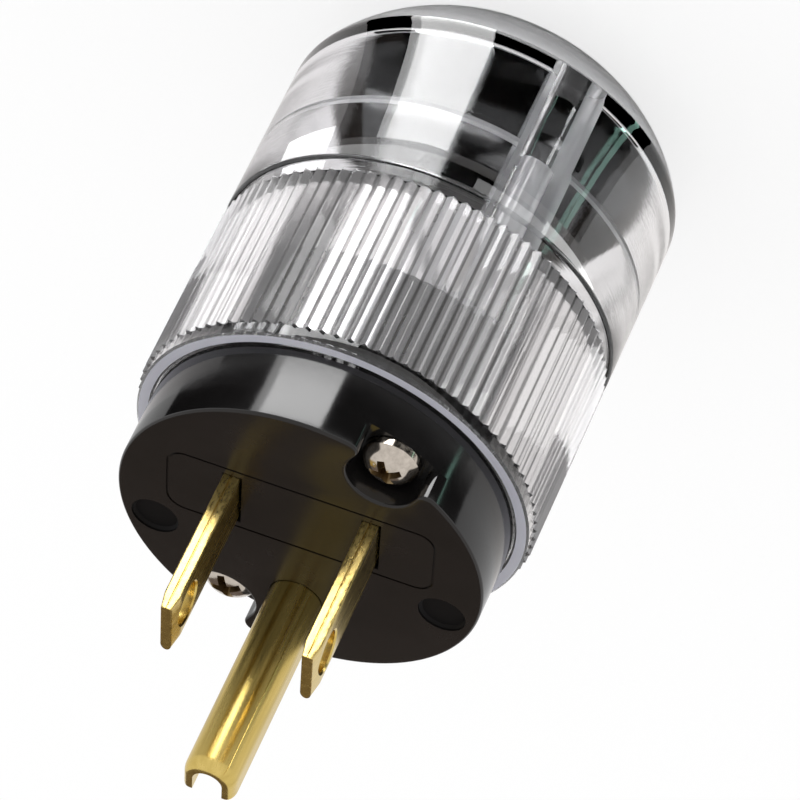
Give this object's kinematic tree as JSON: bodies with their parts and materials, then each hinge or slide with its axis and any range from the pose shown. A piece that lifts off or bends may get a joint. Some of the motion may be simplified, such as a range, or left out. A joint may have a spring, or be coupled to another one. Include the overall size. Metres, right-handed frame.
{
  "type": "power plug",
  "caption": "Round rewireable power plug: flat brass blades and a U-shaped ground pin on a black face, in a clear housing with a ribbed grip and a rounded rear end with a cord inlet.",
  "frame": {"origin": "on the plug's axis at the flat rear end that it stands on", "axes": "+Z along the axis towards the blade tips, +Y towards the ground pin, +X towards the line blade"},
  "size_m": [0.0372, 0.0372, 0.0727],
  "materials": {
    "clear_plastic": "clear polycarbonate, polished, with fine turning marks",
    "black_gloss": "glossy moulded black",
    "black_satin": "satin moulded black",
    "brass": "satin stamped brass",
    "nickel": "nickel plated",
    "ground_green": "green plated steel",
    "zinc_steel": "zinc plated"
  },
  "bodies": {
    "root": {"housing_shell": "clear_plastic", "terminal_cover": "black_gloss", "contact_body": "black_gloss", "face_plate": "black_satin", "line_blade": "brass", "neutral_blade": "brass", "ground_pin": "brass", "line_clamp_plate": "brass", "neutral_clamp_plate": "nickel", "ground_clamp_plate": "brass", "line_terminal_screw": "brass", "neutral_terminal_screw": "nickel", "ground_terminal_screw": "ground_green", "assembly_screws": "nickel", "cord_strap": "zinc_steel", "cord_strap_screws": "zinc_steel"}
  },
  "joints": []
}
